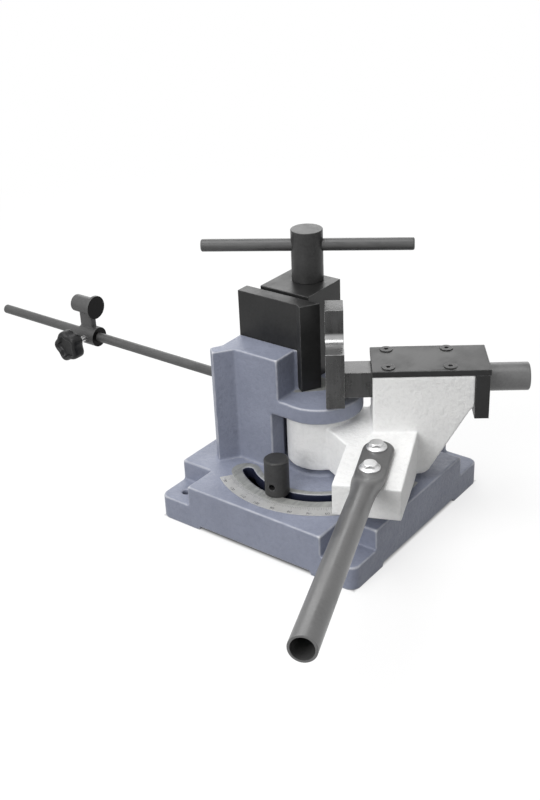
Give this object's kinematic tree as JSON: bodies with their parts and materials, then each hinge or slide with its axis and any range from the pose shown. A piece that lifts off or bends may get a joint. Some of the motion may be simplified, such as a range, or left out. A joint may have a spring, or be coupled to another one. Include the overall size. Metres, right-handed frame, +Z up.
{
  "type": "universal metal bender",
  "caption": "Bench bender with cast base, eccentric clamp, fixed jaw, swinging arm with stepped former and lever, angle stop and length stop.",
  "frame": {"origin": "arm pivot axis at the base's underside, the centre of the four bolt holes", "axes": "+Z up, +X along the base's front edge to the right, +Y to the back"},
  "size_m": [0.843, 0.5893, 0.346],
  "materials": {
    "painted_iron": "blue-grey enamel on a rough casting",
    "white_iron": "white enamel on a rough casting",
    "black_steel": "black oxide",
    "bare_steel": "ground",
    "zinc_steel": "zinc plated",
    "scale_metal": "brushed",
    "bronze": "satin",
    "black_plastic": "moulded"
  },
  "bodies": {
    "base": {"base_casting": "painted_iron", "scale_plate": "scale_metal", "scale_rivets": "zinc_steel", "pivot_pin": "bare_steel", "pivot_pin_screws": "black_steel", "thrust_washers": "bronze", "fixed_jaw": "black_steel", "jaw_screws": "black_steel", "rod_nut": "black_steel"},
    "length_rod": {"stop_rod": "black_steel"},
    "holder": {"stop_holder": "black_steel"},
    "knob": {"star_knob": "black_plastic", "knob_stud": "zinc_steel"},
    "arm": {"arm_casting": "white_iron", "hub_bushes": "bronze", "guide_top_plate": "black_steel", "top_plate_screws": "black_steel", "guide_end_plate": "black_steel", "end_plate_screws": "black_steel", "lever_tube": "black_steel", "lever_bolts": "zinc_steel"},
    "slide": {"slide_bar": "bare_steel", "former": "bare_steel", "former_screws": "black_steel"},
    "adjuster": {"adjusting_screw": "black_steel", "screw_collar": "bare_steel"},
    "jaw": {"clamp_block": "black_steel"},
    "clamp": {"clamp_shaft": "black_steel", "tommy_bar": "black_steel", "clamp_nut": "zinc_steel", "clamp_washer": "zinc_steel"},
    "stop_carriage": {"stop_nut": "zinc_steel"},
    "angle_stop": {"stop_pin": "black_steel"}
  },
  "joints": [
    {"name": "arm_swing", "type": "hinge", "parent": "base", "child": "arm", "pos_m": [0, 0, 0.1], "axis": [0, 0, 1], "range_deg": [-41, 57]},
    {"name": "adjuster_turn", "type": "hinge", "parent": "arm", "child": "adjuster", "pos_m": [0.13463, 0.06924, 0.1847], "axis": [0.8192, 0.5736, 0], "range_deg": [-2880.5, 288.5]},
    {"name": "former_travel", "type": "slide", "parent": "arm", "child": "slide", "axis": [0.8192, 0.5736, 0], "range_m": [-0.002, 0.02]},
    {"name": "clamp_turn", "type": "hinge", "parent": "base", "child": "clamp", "pos_m": [-0.057, 0.06, 0.2], "axis": [0, 0, 1], "range_deg": [-60, 0]},
    {"name": "clamp_travel", "type": "slide", "parent": "base", "child": "jaw", "axis": [0, 1, 0], "range_m": [-0.0038, 0]},
    {"name": "stop_travel", "type": "hinge", "parent": "base", "child": "stop_carriage", "pos_m": [0, 0, 0.05], "axis": [0, 0, 1], "range_deg": [-40, 0]},
    {"name": "stop_turn", "type": "hinge", "parent": "stop_carriage", "child": "angle_stop", "pos_m": [0.0017, -0.09749, 0.05], "axis": [0, 0, 1], "continuous": true},
    {"name": "rod_turn", "type": "hinge", "parent": "base", "child": "length_rod", "pos_m": [-0.3, -0.036, 0.163], "axis": [1, 0, 0], "range_deg": [-100, 90]},
    {"name": "holder_travel", "type": "slide", "parent": "length_rod", "child": "holder", "axis": [1, 0, 0], "range_m": [-0.155, 0.19]},
    {"name": "knob_turn", "type": "hinge", "parent": "holder", "child": "knob", "pos_m": [-0.3675, -0.07, 0.163], "axis": [0, 1, 0], "continuous": true}
  ],
  "couplings": [
    {"joint": "adjuster_turn", "follows": "former_travel", "rad_per_m": -2513.3},
    {"joint": "clamp_travel", "follows": "clamp_turn", "m_per_rad": 0.0036287}
  ]
}
